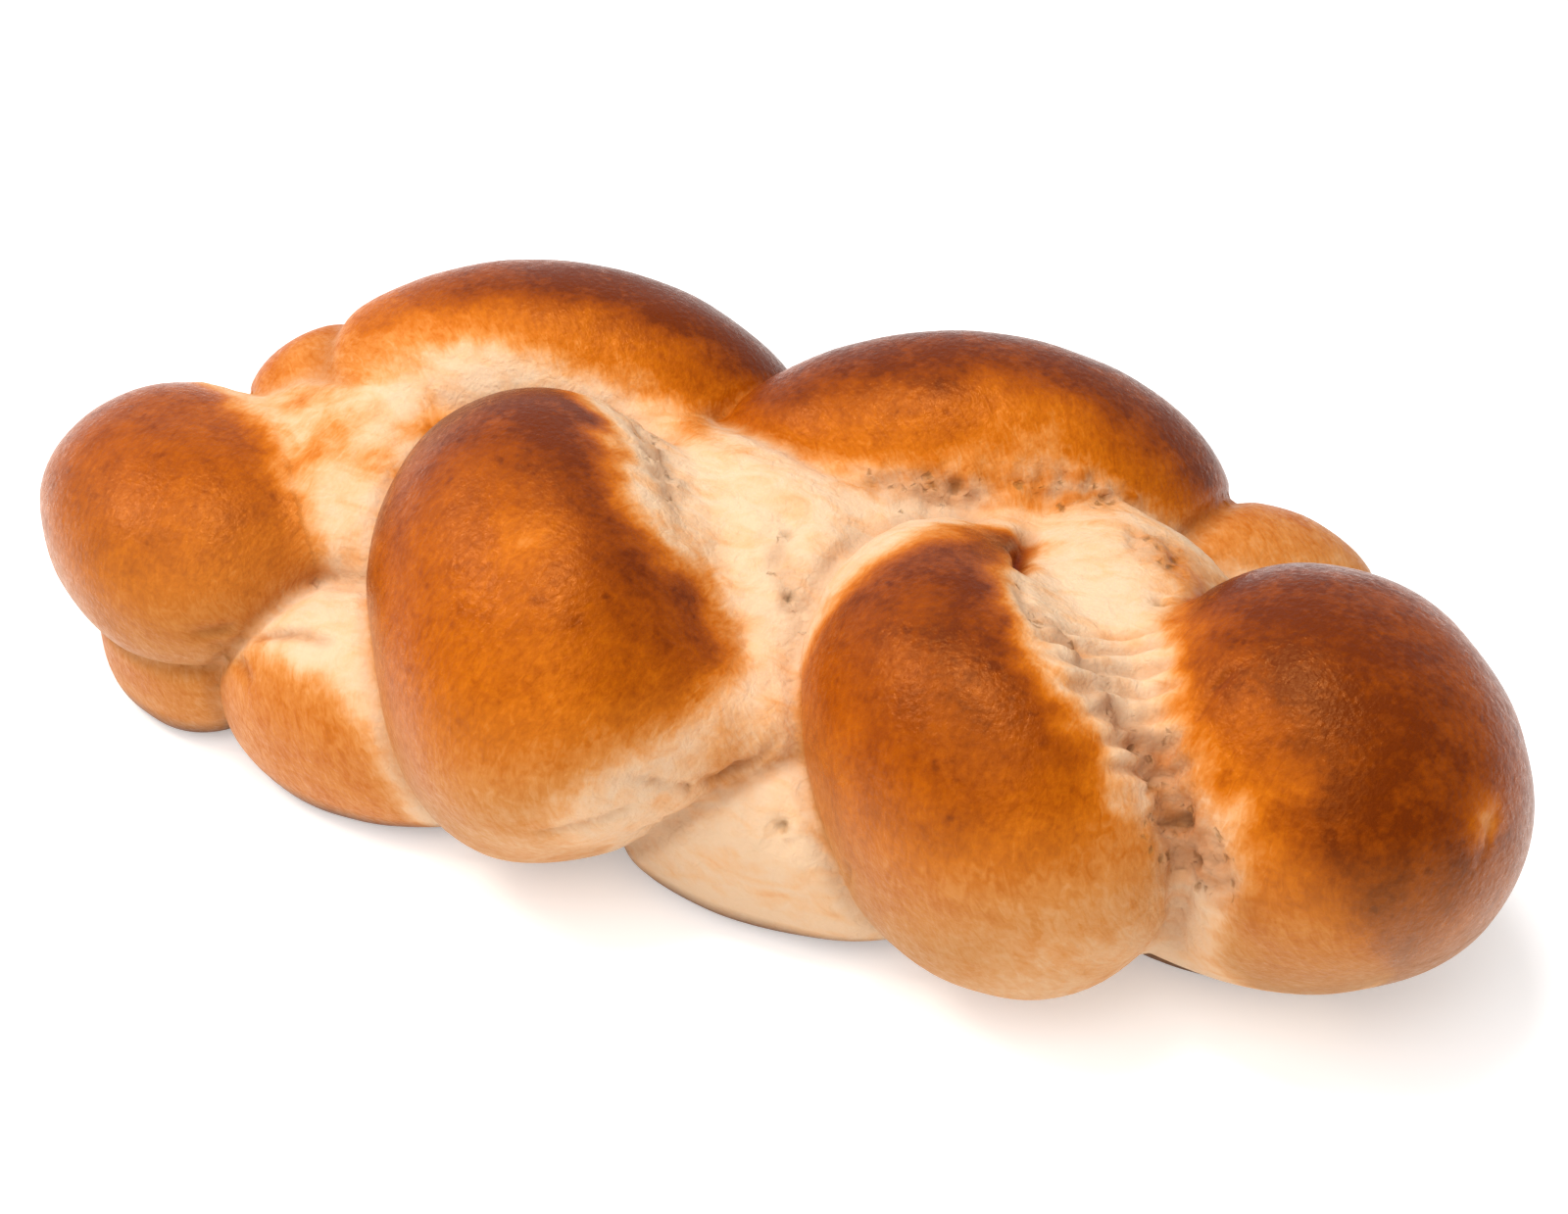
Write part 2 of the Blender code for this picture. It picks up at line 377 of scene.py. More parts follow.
def meltTogether(mesh, offset, edges, rounds=3):
    # moves the skin out to the blended lobes, then relaxes it where the dough is soft
    for step in range(rounds):
        points = readPoints(mesh) / mm + offset
        normals = readNormals(mesh)
        field, first, gap, soft = blendLobes(points, edges, *readLobes(points))
        field = np.clip(field, -loafShape["longestStep"], loafShape["longestStep"])
        points = points - normals * (spread(field, edges, 3) * 0.9)[:, None]
        pull = np.clip(soft * 1.3 * np.exp(-gap / loafShape["relaxReach"]), 0, 0.9)[:, None]
        for turn in range(loafShape["relaxRounds"]):
            relaxed = np.stack([spread(points[:, axis], edges, 1) for axis in range(3)], axis=1)
            points = points + (relaxed - points) * pull
        writePoints(mesh, (points - offset) * mm)


def buildLoaf():
    deselectAll()
    balls = [makeLobe(name, lobe) for name, lobe in lobes.items()]
    corners = np.concatenate([readPoints(ball.data) for ball in balls])
    low, high = corners.min(axis=0), corners.max(axis=0)
    # the same lobes are in the part, so the middle of their outline is the middle of its box
    offset = np.array([(low[0] + high[0] - cadLow.x - cadHigh.x) / 2,
                       (low[1] + high[1] - cadLow.y - cadHigh.y) / 2,
                       -cadLow.z]) / mm
    for ball in balls:
        ball.select_set(True)
    bpy.context.view_layer.objects.active = balls[0]
    bpy.ops.object.join()
    loaf = bpy.context.active_object
    loaf.name = "loafCrust"
    loaf.data.name = "loafCrust"
    writePoints(loaf.data, readPoints(loaf.data) - offset * mm)
    remesh = loaf.modifiers.new("fuse", "REMESH")
    remesh.mode = "VOXEL"
    remesh.voxel_size = loafShape["voxel"] * mm
    bpy.ops.object.modifier_apply(modifier="fuse")
    print("lobes fused:", len(loaf.data.vertices), "points")
    return loaf, offset


loaf, offset = buildLoaf()
edges = readEdges(loaf.data)
meltTogether(loaf.data, offset, edges)
print("lobes melted together")


relief = {
    "swell": 0.9,            # mm, slow unevenness of hand-rolled strands
    "swellSize": 34,
    "lump": 0.3,
    "lumpSize": 12,
    "seamDepth": 1.2,        # mm, how deep the crisp seams are pressed in
    "seamWidth": 1.5,
    "seamFade": 0.3,         # how much of the wash is lost beside a seam
    "seamFadeWidth": 3.0,
    "creaseReach": 4.0,      # mm, how far a crease's line may float over the skin it cuts
    "creaseWaver": 0.7,      # mm, how crookedly a crease runs
    "creaseWaverSize": 5,
    "wrinkle": 0.35,         # mm, leathery skin of the pale stretched dough
    "tornWrinkle": 0.7,      # mm, the same where it is torn
    "wrinkleSize": 6.0,
    "ragged": 1.4,           # mm, crumpled edges of torn and worn skin
    "raggedSize": 3.0,
    "ledge": 0.8,            # mm, how far the washed skin stands up along a tear
    "flakeSize": 3.2,
    "flakeLoss": 0.85,       # how much of the wash is lost where the skin flaked off
    "tearHeight": 4,         # mm off a lobe's skin, over which its tears fade out
    "pitDepth": 1.8,         # mm, torn holes
    "pitReach": 3,           # radii of a hole, over which the skin round it is torn
    "ridgeHeight": 0.75,     # mm, stretch ridges across the long pale strand
    "ridgeSpacing": 3.8,
    "ridgeAlong": (0.08, 0.22, 0.65, 0.85),  # along that strand: from, in full, until, gone
    "ridgeAround": (35, 50, 90, 110),        # degrees, the same round it
    "ridgeBow": 2.7,         # mm, how far the ridges sag where they cross the strand
    "ridgeMiddle": 75,       # degrees, where they sag most
    "ridgeWaver": 0.35,
    "ridgeWaverSize": 9,
    "paintedFootShadeHeight": 54,        # mm above the baking sheet, where the painted shade that darkens and dulls the foot ends
    "waver": 8,              # degrees, how unevenly the egg wash was brushed
    "waverSize": 16,
    "fray": 6,               # degrees, the same in finer lumps
    "fraySize": 4.5,
    "overlapHeight": 5,      # mm, how far a soft lobe's wash runs on over its neighbour
    "streakLength": 4.0,     # mm, streaks of the marks in the wash
    "streakWidth": 1.6,
    "streakStrength": 0.9,
    "fibreSlant": 0.35,      # how far the fibres lean along the strand
    "fibreShift": 50.0,      # mm, which keeps one lobe's fibres apart from the next one's
}

# Torn skin: (lobe, along, reach along, around, reach around, share of holes)
tears = [
    ("backRight", -0.16, 0.30, 26, 10, 0.8),
    ("backRight", 0.42, 0.25, 36, 10, 0.6),
    ("stretched", -0.34, 0.16, 108, 16, 0.5),
    ("stretched", 0.72, 0.24, 66, 30, 0.9),
    ("frontRight", 0.16, 0.34, 117, 5, 0.7),
    ("frontRight", 0.62, 0.28, 104, 7, 0.95),
    ("frontLast", 0.36, 0.34, 18, 12, 1.0),
    ("middleValley", 0.42, 0.22, 80, 8, 0.4),
    ("frontLeft", -0.30, 0.30, 134, 8, 0.4),
    ("lowFrontRight", -0.40, 0.12, 40, 10, 0.6),
]

# Single holes, where a gas bubble burst: (x, y, z, radius)
holes = [
    (12, -18, 60, 1.5), (-18, -15, 66, 1.2), (-27, -2, 67, 1.1), (20, 4, 61, 1.5),
    (35, 9, 61, 1.8), (31, 7, 61, 1.2), (82, -14, 63, 1.3), (17, -29, 55, 1.2),
    (76, -4, 65, 1.2), (98, -54, 47, 1.8), (93, -51, 52, 1.3), (102, -57, 42, 1.4),
    (29, -61, 29, 1.3), (5, -62, 27, 1.0), (7, -59, 28, 1.0), (3, -62, 24, 1.0),
]

# Creases where one fold of dough lies over another: points along it, depth and width in mm
creases = [
    dict(points=[(-12, -72, 43), (-4, -71, 40), (1, -67, 39), (9, -60, 35), (16, -58, 35),
                 (22, -55, 38), (25, -50, 42)], depth=2.1, width=1.3),
    dict(points=[(-18, -75, 30), (-11, -75, 30), (-4, -72, 32), (3, -66, 35)], depth=1.4,
         width=1.2),
    dict(points=[(44, -67, 31), (44, -66, 24)], depth=1.0, width=0.8),
    dict(points=[(-95, -53, 30), (-87, -54, 27), (-82, -58, 26)], depth=1.2, width=1.1),
    dict(points=[(51, 5, 58), (55, -8, 63), (58, -19, 66)], depth=3.2, width=1.7),
    dict(points=[(58, -19, 66), (63, -33, 68), (70, -40, 65)], depth=0.9, width=1.2),
    dict(points=[(-98, -56, 32), (-92, -53, 33), (-77, -51, 35), (-65, -53, 37)], depth=1.6,
         width=1.2),
    dict(points=[(101, -36, 69), (98, -39, 65), (97, -43, 60)], depth=0.6, width=0.8),
    dict(points=[(149, -40, 55), (147, -42, 50), (144, -44, 46)], depth=1.0, width=0.9),
]

# Marks in the wash: (x, y, z, radius, how much darker or, below 0, paler it baked)
marks = [
    (-24, -50, 67, 6, -0.3), (-30, -46, 69, 3, -0.2), (48, 23, 70, 10, -0.18),
    (36, 24, 74, 6, -0.12), (-96, -2, 56, 9, 0.16), (80, 3, 61, 8, 0.3),
    (86, -3, 59, 6, 0.3), (63, 6, 61, 8, 0.06), (-89, -20, 55, 6, 0.34),
    (96, -48, 48, 9, 0.2), (88, -42, 54, 6, 0.1), (-87, -13, 57, 5, 0.34),
    (-74, -17, 55, 4, 0.34), (-101, -7, 55, 6, 0.2), (-20, 6, 66, 8, 0.12),
    (2, -31, 61, 6, 0.16), (146, -41, 53, 4, -0.5),
]


def distanceToLine(points, normals, corners):
    # distance along the skin from each point to a line that runs close over or under it,
    # and how far along the line that is, 0 to 1
    corners = np.array(corners, float)
    best = np.full(len(points), 1e3)
    progress = np.zeros(len(points))
    for i, (start, end) in enumerate(zip(corners[:-1], corners[1:])):
        run = end - start
        t = np.clip((points - start) @ run / (run @ run), 0, 1)
        across = points - start - t[:, None] * run
        over = (across * normals).sum(1)
        away = np.linalg.norm(across - over[:, None] * normals, axis=1)
        away += np.maximum(0, abs(over) - relief["creaseReach"])
        progress = np.where(away < best, (i + t) / (len(corners) - 1), progress)
        best = np.minimum(best, away)
    return best, progress


def alongValley(points):
    # the points in a frame turned along the valley strands, scaled for long streaks
    turn = math.radians(lobes["middleValley"]["heading"])
    length, width = relief["streakLength"], relief["streakWidth"]
    run = points[:, 0] * math.cos(turn) + points[:, 1] * math.sin(turn)
    side = points[:, 1] * math.cos(turn) - points[:, 0] * math.sin(turn)
    return np.stack([run / length, side / width, points[:, 2] / width], axis=1)


def tearSkin(points, along, around, height):
    # how torn the skin is, the share of holes in it, and the single holes, all 0 to 1
    torn = np.zeros(len(points))
    share = np.zeros(len(points))
    for name, middle, reach, angle, turn, part in tears:
        i = names.index(name)
        off = ((along[i] - middle) / reach) ** 2 + ((around[i] - angle) / turn) ** 2
        here = np.exp(-off ** 2) * np.exp(-(height[i] / relief["tearHeight"]) ** 2)
        torn = np.maximum(torn, here)
        share = np.maximum(share, here * part)
    pit = np.zeros(len(points))
    for x, y, z, radius in holes:
        away = np.linalg.norm(points - np.array([x, y, z]), axis=1) / radius
        pit = np.maximum(pit, np.clip(1.4 - away, 0, 1))
        torn = np.maximum(torn, np.exp(-(away / relief["pitReach"]) ** 2))
    return torn, share, smoothStep(0, 1, pit)


def brushWash(points, first, soft, along, around, height):
    # how dark the egg wash baked, 0 to 1, before tears and marks
    wobble = relief["waver"] * noiseAt(points, relief["waverSize"], 3.3, 2)
    wobble += relief["fray"] * noiseAt(points, relief["fraySize"], 6.1, 2)
    rise = points[:, 2]
    wash = np.zeros(len(points))
    for i, name in enumerate(names):
        beside = soft * np.exp(-(height[i] / relief["overlapHeight"]) ** 2)
        part = np.where(first == i, 1, beside)
        here = washOf(lobes[name], along[i], around[i], wobble, rise)
        wash = np.maximum(wash, part * here)
    return wash


def markWash(points):
    # how much darker or paler the marks baked, and how worn the skin of the pale ones is
    marked = np.zeros(len(points))
    worn = np.zeros(len(points))
    streaky = 1 + relief["streakStrength"] * noiseAt(alongValley(points), 1.0, 8.1, 2)
    for x, y, z, radius, tone in marks:
        away = np.linalg.norm(points - np.array([x, y, z]), axis=1) / radius
        marked += tone * np.exp(-away ** 2) * streaky
        worn += max(0, -tone) * np.exp(-away ** 2)
    return marked, worn


def pressSeams(points, normals, edges, gap, soft):
    # seams between crisp lobes and creases, where 1 is as deep as a seam; the material paints shade
    # into them by the same measure
    seamDepthAndShade = (1 - soft) * np.exp(-(gap / relief["seamWidth"]) ** 2)
    seamDepthAndShade = spread(seamDepthAndShade, edges, 2)
    waver = relief["creaseWaver"] * noiseAt(points, relief["creaseWaverSize"], 4.4, 2)
    for crease in creases:
        away, progress = distanceToLine(points, normals, crease["points"])
        depth = crease["depth"] / relief["seamDepth"] * (1 - abs(2 * progress - 1) ** 3)
        seamDepthAndShade = np.maximum(seamDepthAndShade, depth * np.exp(-((away + waver) / crease["width"]) ** 2))
    return seamDepthAndShade


def stretchRidges(points, edges, pale, along, around, height):
    # where the long pale strand has ridges, 0 to 1, and their wave, -1 to 1
    start, full, until, gone = relief["ridgeAlong"]
    window = smoothStep(start, full, along) * smoothStep(gone, until, along)
    start, full, until, gone = relief["ridgeAround"]
    window *= smoothStep(start, full, around) * smoothStep(gone, until, around)
    window *= pale * smoothStep(18, 12, height)
    sag = relief["ridgeBow"] * np.radians(around - relief["ridgeMiddle"]) ** 2
    turns = (along * lobes["stretched"]["length"] / 2 - sag) / relief["ridgeSpacing"]
    turns += relief["ridgeWaver"] * noiseAt(points, relief["ridgeWaverSize"], 2.2)
    return spread(window, edges, 2), np.sin(2 * math.pi * turns)


def layFibres(first, along, around):
    # place along and across the fibres of the lobe that each point lies nearest, in mm
    columns = np.arange(len(first))
    half = np.array([lobes[name]["length"] / 2 for name in names])[first]
    girth = np.array([lobes[name]["girth"] for name in names])[first]
    run = along[first, columns] * half
    turn = np.radians(around[first, columns]) * girth
    slanted = run + relief["fibreSlant"] * turn
    return np.stack([slanted, turn, first * relief["fibreShift"]], axis=1)


def shapeRelief(mesh, offset, edges):
    # moves the skin to its fine shape, and gives what the material reads at each point
    points = readPoints(mesh) / mm + offset
    normals = readNormals(mesh)
    along, around, height = readLobes(points)
    field, first, gap, soft = blendLobes(points, edges, along, around, height)
    wash = brushWash(points, first, soft, along, around, height)
    pale = 1 - smoothStep(0.05, 0.45, wash)
    brushed = smoothStep(0.1, 0.4, wash)
    marked, worn = markWash(points)
    seamDepthAndShade = pressSeams(points, normals, edges, gap, soft)
    torn, share, pit = tearSkin(points, along, around, height)
    rim = (1 - soft) * np.exp(-(gap / relief["seamFadeWidth"]) ** 2)
    flaked = torn * smoothStep(-0.35, 0.15, noiseAt(points, relief["flakeSize"], 12.1, 2))
    wash *= (1 - relief["seamFade"] * rim) * (1 - relief["flakeLoss"] * flaked)
    wash = spread(np.clip(wash + marked, 0, 1), edges, 2)
    # painted shade: each lobe's crust is darkened and dulled towards the baking sheet
    paintedFootShade = np.array([lobe.get("paintedFootShade", 1) for lobe in lobes.values()])[first]
    paintedFootShade = spread(paintedFootShade * np.clip(1 - points[:, 2] / relief["paintedFootShadeHeight"], 0, 1), edges, 4)
    fibres = layFibres(first, along, around)

    i = names.index("stretched")
    window, ridge = stretchRidges(points, edges, pale, along[i], around[i], height[i])
    lift = relief["swell"] * noiseAt(points, relief["swellSize"], 1.7)
    lift += relief["lump"] * noiseAt(points, relief["lumpSize"], 5.2)
    lift -= relief["seamDepth"] * seamDepthAndShade
    skin = relief["wrinkle"] * pale * smoothStep(10, 30, points[:, 2])
    skin += relief["tornWrinkle"] * torn
    lift += skin * noiseAt(points, relief["wrinkleSize"], 7.7, 3)
    lift += relief["ledge"] * torn * (2 * brushed - 1)
    lift += relief["ragged"] * (torn + worn) * noiseAt(points, relief["raggedSize"], 9.9, 2)
    lift -= relief["pitDepth"] * pit
    lift += relief["ridgeHeight"] * window * ridge
    # painted shade in the valleys between the stretch ridges, for the material only
    seamDepthAndShade = np.maximum(seamDepthAndShade, 0.8 * window * smoothStep(0.2, -0.9, ridge))

    points = points + normals * lift[:, None]
    points[:, 2] = np.maximum(points[:, 2], 0)
    writePoints(mesh, (points - offset) * mm)
    return {"wash": wash, "seamDepthAndShade": seamDepthAndShade, "torn": share, "pit": pit, "paintedFootShade": paintedFootShade,
            "fibres": fibres}


def giveAttribute(mesh, name, values):
    if values.ndim == 1:
        layer = mesh.attributes.new(name, "FLOAT", "POINT")
        layer.data.foreach_set("value", values.astype(np.float32))
    else:
        layer = mesh.attributes.new(name, "FLOAT_VECTOR", "POINT")
        layer.data.foreach_set("vector", values.astype(np.float32).ravel())


for name, values in shapeRelief(loaf.data, offset, edges).items():
    giveAttribute(loaf.data, name, values)
loaf.data.shade_smooth()
print("relief shaped:", 2 * len(loaf.data.polygons), "triangles")


# Baked enriched dough under egg wash: brushed skin bakes glossy and dark, and skin that the
# dough opened up while it rose in the oven stays pale and dull.
crustLook = {
    "ramp": [(0.0, "#d9ba99"), (0.14, "#daae84"), (0.28, "#d3965f"), (0.42, "#c97d38"),
             (0.58, "#b86009"), (0.74, "#9e4b04"), (0.88, "#853903"), (1.0, "#632302")],
    "paintedFootShadeColour": "#8f6f45",  # painted shade: washed skin is darkened and dulled close to the baking sheet
    "paintedFootShadeShare": 0.9,
    "streak": 0.06,          # how far the streaky fibres fray the edge of the wash
    "fibreStreak": 0.015,    # and how far they streak its colour
    "streakMm": (1.2, 3.2),  # across and along the fibres
    "mottle": 0.055,
    "mottleMm": 7,
    "grain": 0.045,
    "grainMm": 1.5,
    "speck": 0.08,           # dark specks where gas bubbles blistered the skin
    "speckMm": 3.4,
    "warmth": 0.2,           # orange streaks in the pale dough, along its stretch
    "warmthMm": (10, 5),
    "warmthTurn": 50,        # degrees
    "poreMm": 1.1,
    "poreHeight": 0.00035,   # m
    "fibreHeight": 0.00012,
    "wrinkleMm": 3.2,
    "wrinkleHeight": 0.0006,
    # painted shadow inside the pits and burst holes
    "pitShadowColour": "#856034",
    "pitShade": 0.6,
    "pitMm": 2.1,            # fine pits in torn skin, from one to the next
    "pitShare": 0.5,         # how many of them opened where the skin is most torn
    "pitWarp": 0.0016,       # m, how uneven they are
    "pitWarpMm": 2.2,
    "pitDepth": 0.0007,      # m
    "baseBrownAndShadowColour": "#5e3413", # the underside, browned on the baking sheet and darker still as painted contact shadow
    "baseHeight": 0.007,     # m
    "baseShare": 0.85,
    "seamShade": 0.4,        # how much painted shade darkens creases, crisp seams and the valleys between stretch ridges
    "tornShade": 1.5,        # the same painted shade for the holes and gaps of torn skin, against a seam's
    # colour of the painted shade in seams, creases, ridge valleys and torn skin
    "seamShadeColour": "#a8713a",
    "sheenColour": "#e89a50",
    "paleRoughness": 0.66,
    "washedRoughness": 0.31,
    "unevenRoughness": 0.09,
}


def addNode(tree, kind, links=None, **settings):
    # one node with its settings, and links from other nodes' outputs into its inputs
    node = tree.nodes.new(kind)
    for key, value in settings.items():
        if hasattr(node, key):
            setattr(node, key, value)
        else:
            node.inputs[key.replace("_", " ")].default_value = value
    for key, source in (links or {}).items():
        tree.links.new(source, node.inputs[key])
    return node


def feed(tree, socket, value):
    # a number is set on the socket, and a node's output is linked into it
    if isinstance(value, (int, float)):
        socket.default_value = value
    else:
        tree.links.new(value, socket)


def readAttribute(tree, name, output="Fac"):
    return addNode(tree, "ShaderNodeAttribute", attribute_name=name).outputs[output]


def combine(tree, operation, first, second):
    node = addNode(tree, "ShaderNodeMath", operation=operation)
    feed(tree, node.inputs[0], first)
    feed(tree, node.inputs[1], second)
    return node.outputs[0]


def remap(tree, value, low, high, toLow, toHigh):
    return addNode(tree, "ShaderNodeMapRange", {"Value": value}, From_Min=low, From_Max=high,
                   To_Min=toLow, To_Max=toHigh).outputs["Result"]


def cloud(tree, vector, scale, detail, distortion=0.0):
    return addNode(tree, "ShaderNodeTexNoise", {"Vector": vector}, Scale=scale, Detail=detail,
                   Distortion=distortion).outputs["Fac"]


def colourRamp(tree, tone, stops):
    node = addNode(tree, "ShaderNodeValToRGB", {"Fac": tone})
    elements = node.color_ramp.elements
    while len(elements) > 1:
        elements.remove(elements[-1])
    elements[0].position = stops[0][0]
    elements[0].color = hexToLinear(stops[0][1])
    for place, colour in stops[1:]:
        elements.new(place).color = hexToLinear(colour)
    return node.outputs["Color"]


def mixColour(tree, share, under, colour, blend="MIX"):
    # this share of a colour over what is under it
    node = addNode(tree, "ShaderNodeMix", {"Factor": share}, data_type="RGBA", blend_type=blend)
    tree.links.new(under, node.inputs[6])
    node.inputs[7].default_value = hexToLinear(colour)
    return node.outputs[2]


def addBump(tree, height, strength, distance, under=None, inwards=False):
    # fine relief on top of the relief under it, distance in metres
    node = addNode(tree, "ShaderNodeBump", {"Height": height}, Distance=distance, invert=inwards)
    feed(tree, node.inputs["Strength"], strength)
    if under is not None:
        tree.links.new(under, node.inputs["Normal"])
    return node.outputs["Normal"]


def perMetre(size):
    # noise scale for lumps of this many millimetres, on object coordinates in metres
    return 1000 / size


def crustTone(tree, place, washed, fibre, grain):
    # place on the colour ramp: the wash, frayed along the fibres at its edges, and uneven
    look = crustLook
    edge = combine(tree, "MULTIPLY", washed, remap(tree, washed, 0.0, 0.9, 4.0, 0.0))
    fray = remap(tree, fibre, 0.3, 0.7, -look["streak"], look["streak"])
    tone = combine(tree, "ADD", washed, combine(tree, "MULTIPLY", edge, fray))
    mottle = remap(tree, cloud(tree, place, perMetre(look["mottleMm"]), 4.0), 0.3, 0.7, -1.0, 1.0)
    uneven = combine(tree, "ADD", combine(tree, "MULTIPLY", mottle, look["mottle"]),
                     combine(tree, "MULTIPLY", grain, look["grain"]))
    strong = remap(tree, washed, 0.1, 0.7, 0.25, 1.0)
    tone = combine(tree, "ADD", tone, combine(tree, "MULTIPLY", uneven, strong))
    specks = cloud(tree, place, perMetre(look["speckMm"]), 2.0)
    speck = remap(tree, specks, 0.62, 0.74, 0.0, look["speck"])
    streaks = remap(tree, fibre, 0.35, 0.7, -look["fibreStreak"], look["fibreStreak"])
    fine = combine(tree, "ADD", combine(tree, "MULTIPLY", speck, strong), streaks)
    tone = combine(tree, "ADD", tone, fine)
    long, wide = look["warmthMm"]
    pulled = addNode(tree, "ShaderNodeMapping", {"Vector": place},
                     Rotation=(0, 0, math.radians(look["warmthTurn"])),
                     Scale=(perMetre(long), perMetre(wide), perMetre(wide))).outputs["Vector"]
    warm = remap(tree, cloud(tree, pulled, 1.0, 5.0, 0.8), 0.44, 0.74, 0.0, look["warmth"])
    bare = remap(tree, washed, 0.1, 0.6, 1.0, 0.2)
    return combine(tree, "ADD", tone, combine(tree, "MULTIPLY", warm, bare))


def finePits(tree, place, torn):
    # pits that opened in the torn skin, 0 to 1 deep, each with a wall of its own thickness
    look = crustLook
    swirl = addNode(tree, "ShaderNodeTexNoise", {"Vector": place},
                    Scale=perMetre(look["pitWarpMm"]), Detail=2.0)
    warped = addNode(tree, "ShaderNodeVectorMath", {0: swirl.outputs["Color"], 2: place},
                     operation="MULTIPLY_ADD")
    warped.inputs[1].default_value = (look["pitWarp"],) * 3
    spots = warped.outputs["Vector"]
    scale = perMetre(look["pitMm"])
    cells = addNode(tree, "ShaderNodeTexVoronoi", {"Vector": spots}, Scale=scale)
    walls = addNode(tree, "ShaderNodeTexVoronoi", {"Vector": spots}, Scale=scale,
                    feature="DISTANCE_TO_EDGE")
    chosen = addNode(tree, "ShaderNodeSeparateColor", {"Color": cells.outputs["Color"]})
    limit = combine(tree, "MULTIPLY", torn, look["pitShare"])
    opened = combine(tree, "LESS_THAN", chosen.outputs["Red"], limit)
    wall = remap(tree, chosen.outputs["Green"], 0.0, 1.0, 0.05, 0.2)
    inside = combine(tree, "SUBTRACT", walls.outputs["Distance"], wall)
    return combine(tree, "MULTIPLY", opened, remap(tree, inside, 0.0, 0.24, 0.0, 1.0))


def crustColour(tree, place, tone, washed, torn, pits):
    look = crustLook
    colour = colourRamp(tree, tone, look["ramp"])
    # painted shadow inside the pits and holes
    colour = mixColour(tree, combine(tree, "MULTIPLY", pits, look["pitShade"]), colour,
                       look["pitShadowColour"])
    # painted shade in creases, crisp seams, ridge valleys and torn skin
    paintedShade = combine(tree, "MAXIMUM", readAttribute(tree, "seamDepthAndShade"),
                      combine(tree, "MULTIPLY", torn, look["tornShade"]))
    colour = mixColour(tree, combine(tree, "MULTIPLY", paintedShade, look["seamShade"]), colour,
                       look["seamShadeColour"], "MULTIPLY")
    # painted shade, darker and duller towards the baking sheet
    paintedFootShade = combine(tree, "MULTIPLY", readAttribute(tree, "paintedFootShade"), look["paintedFootShadeShare"])
    paintedFootShade = combine(tree, "MULTIPLY", paintedFootShade, remap(tree, washed, 0.1, 0.35, 0.25, 1.0))
    colour = mixColour(tree, paintedFootShade, colour, look["paintedFootShadeColour"])
    # the underside browned on the baking sheet, darkened further as painted contact shadow
    height = addNode(tree, "ShaderNodeSeparateXYZ", {"Vector": place}).outputs["Z"]
    baked = remap(tree, height, look["baseHeight"] / 3, look["baseHeight"], look["baseShare"], 0.0)
    return mixColour(tree, baked, colour, look["baseBrownAndShadowColour"])


def crustRelief(tree, place, washed, fibre, pits):
    # pores, fibres along the stretch and wrinkles in the skin, and pits in the torn dough
    look = crustLook
    pores = cloud(tree, place, perMetre(look["poreMm"]), 4.0)
    skin = addBump(tree, pores, 0.6, look["poreHeight"])
    skin = addBump(tree, fibre, remap(tree, washed, 0.1, 0.5, 0.0, 0.7), look["fibreHeight"], skin)
    wrinkles = cloud(tree, place, perMetre(look["wrinkleMm"]), 5.0, 1.2)
    skin = addBump(tree, wrinkles, remap(tree, washed, 0.0, 0.6, 0.7, 0.15),
                   look["wrinkleHeight"], skin)
    return addBump(tree, pits, 0.5, look["pitDepth"], skin, inwards=True)


def makeCrustMaterial():
    look = crustLook
    material = bpy.data.materials.new("egg washed baked crust")
    material.use_nodes = True
    tree = material.node_tree
    shader = tree.nodes["Principled BSDF"]
    place = addNode(tree, "ShaderNodeTexCoord").outputs["Object"]
    washed, torn = readAttribute(tree, "wash"), readAttribute(tree, "torn")
    across, lengthways = look["streakMm"]
    combed = addNode(tree, "ShaderNodeMapping", {"Vector": readAttribute(tree, "fibres", "Vector")},
                     Scale=(1 / across, 1 / lengthways, 1)).outputs["Vector"]
    fibre = cloud(tree, combed, 1.0, 3.0, 1.2)
    grain = remap(tree, cloud(tree, place, perMetre(look["grainMm"]), 3.0), 0.3, 0.7, -1.0, 1.0)
    pits = finePits(tree, place, torn)
    tone = crustTone(tree, place, washed, fibre, grain)
    openings = combine(tree, "MAXIMUM", pits, readAttribute(tree, "pit"))
    colour = crustColour(tree, place, tone, washed, torn, openings)
    tree.links.new(colour, shader.inputs["Base Color"])

    # glossier where it was washed, matt in the torn dough
    gloss = remap(tree, washed, 0.1, 0.7, look["paleRoughness"], look["washedRoughness"])
    patchy = remap(tree, grain, -1.0, 1.0, -look["unevenRoughness"], look["unevenRoughness"])
    tree.links.new(combine(tree, "ADD", gloss, patchy), shader.inputs["Roughness"])
    tree.links.new(crustRelief(tree, place, washed, fibre, pits), shader.inputs["Normal"])
    shader.inputs["IOR"].default_value = 1.45
    shader.inputs["Specular IOR Level"].default_value = 0.5
    shader.inputs["Specular Tint"].default_value = hexToLinear(look["sheenColour"])
    shader.inputs["Subsurface Weight"].default_value = 0.08
    shader.inputs["Subsurface Radius"].default_value = (1.0, 0.5, 0.25)
    shader.inputs["Subsurface Scale"].default_value = 0.003
    return material


loaf.data.materials.clear()
loaf.data.materials.append(makeCrustMaterial())
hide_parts("loaf")
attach(loaf, "root")
print("crust material made")


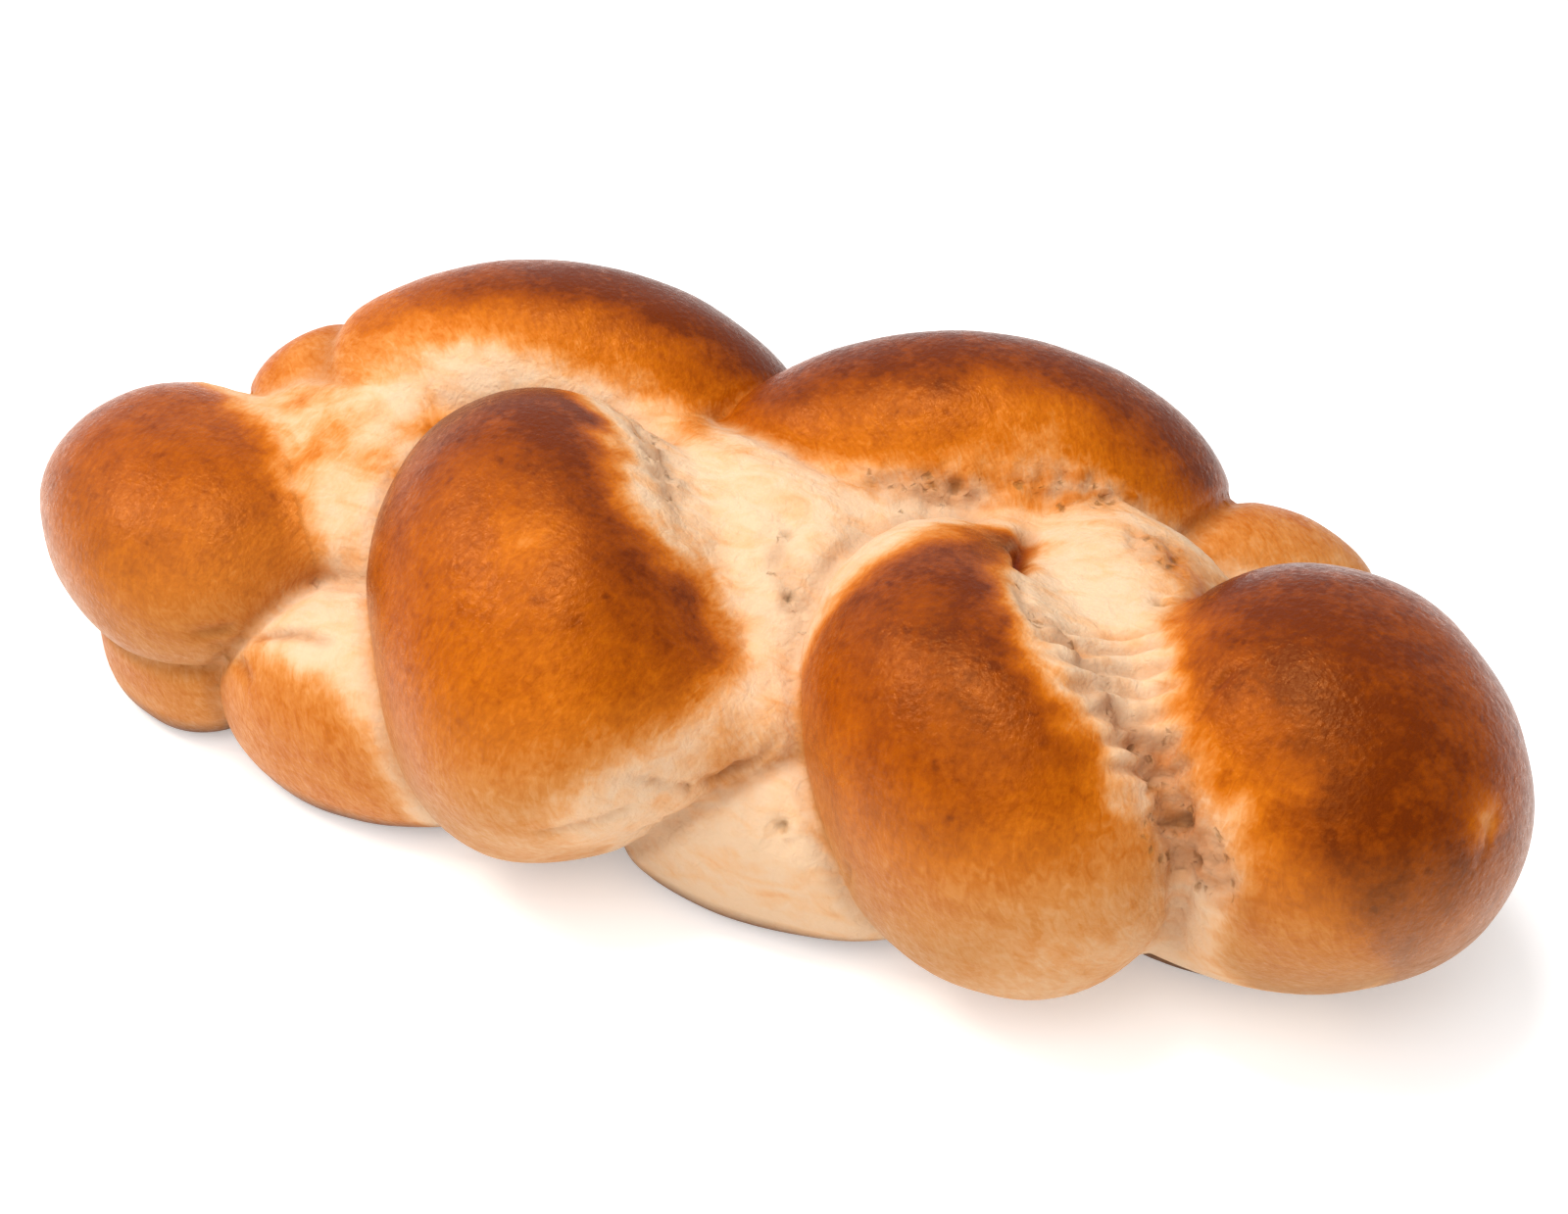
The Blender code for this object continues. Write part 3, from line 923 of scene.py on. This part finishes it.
studio = {
    "floorColour": "#f0f0f0",
    "floorGlow": 0.34,       # light from under the board, which lifts the shadows
    "floorSize": 6.0,        # m
    "floorGap": 0.0002,      # m under the loaf
    "skyStrength": 0.6,
    "softboxes": {           # name: (place, size in m, power in W, colour)
        "topSoftbox": ((-0.12, -0.02, 1.0), 0.28, 4.2, "#ffffff"),
        "leftSoftbox": ((-0.64, -0.15, 0.78), 0.28, 3.7, "#fff0df"),
        "frontSoftbox": ((-0.1, -0.6, 0.82), 0.8, 4.6, "#ffffff"),
    },
    "azimuth": 23,           # degrees to the right of the loaf's front
    "elevation": 35,
    "distance": 0.535,       # m
    "lens": 63,              # mm
    "aim": (0.004, 0.0042, 0.033),
}


def makeFloor():
    deselectAll()
    bpy.ops.mesh.primitive_plane_add(size=studio["floorSize"],
                                     location=(0, 0, cadLow.z - studio["floorGap"]))
    floor = bpy.context.active_object
    floor.name = "floor"
    material = bpy.data.materials.new("matt white board")
    material.use_nodes = True
    shader = material.node_tree.nodes["Principled BSDF"]
    shader.inputs["Base Color"].default_value = hexToLinear(studio["floorColour"])
    shader.inputs["Roughness"].default_value = 0.9
    shader.inputs["Specular IOR Level"].default_value = 0.0
    shader.inputs["Emission Color"].default_value = (1, 1, 1, 1)
    shader.inputs["Emission Strength"].default_value = studio["floorGlow"]
    floor.data.materials.append(material)


def makeLight(name, place, size, power, colour):
    bpy.ops.object.light_add(type="AREA", location=place)
    light = bpy.context.active_object
    light.name = name
    light.data.size = size
    light.data.energy = power
    light.data.color = hexToLinear(colour)[:3]
    light.rotation_euler = (-Vector(place)).to_track_quat("-Z", "Y").to_euler()


def makeSky():
    world = bpy.data.worlds.new("studio")
    bpy.context.scene.world = world
    world.use_nodes = True
    background = world.node_tree.nodes["Background"]
    background.inputs["Color"].default_value = (1, 1, 1, 1)
    background.inputs["Strength"].default_value = studio["skyStrength"]


def makeCamera():
    azimuth = math.radians(studio["azimuth"])
    elevation = math.radians(studio["elevation"])
    back = Vector((math.sin(azimuth) * math.cos(elevation),
                   -math.cos(azimuth) * math.cos(elevation), math.sin(elevation)))
    bpy.ops.object.camera_add(location=Vector(studio["aim"]) + back * studio["distance"])
    camera = bpy.context.active_object
    camera.rotation_euler = (-back).to_track_quat("-Z", "Y").to_euler()
    camera.data.lens = studio["lens"]
    camera.data.sensor_width = 36
    bpy.context.scene.camera = camera


makeFloor()
for name, (place, size, power, colour) in studio["softboxes"].items():
    makeLight(name, place, size, power, colour)
makeSky()
makeCamera()
bpy.context.scene.view_settings.view_transform = "Standard"
print("studio set")
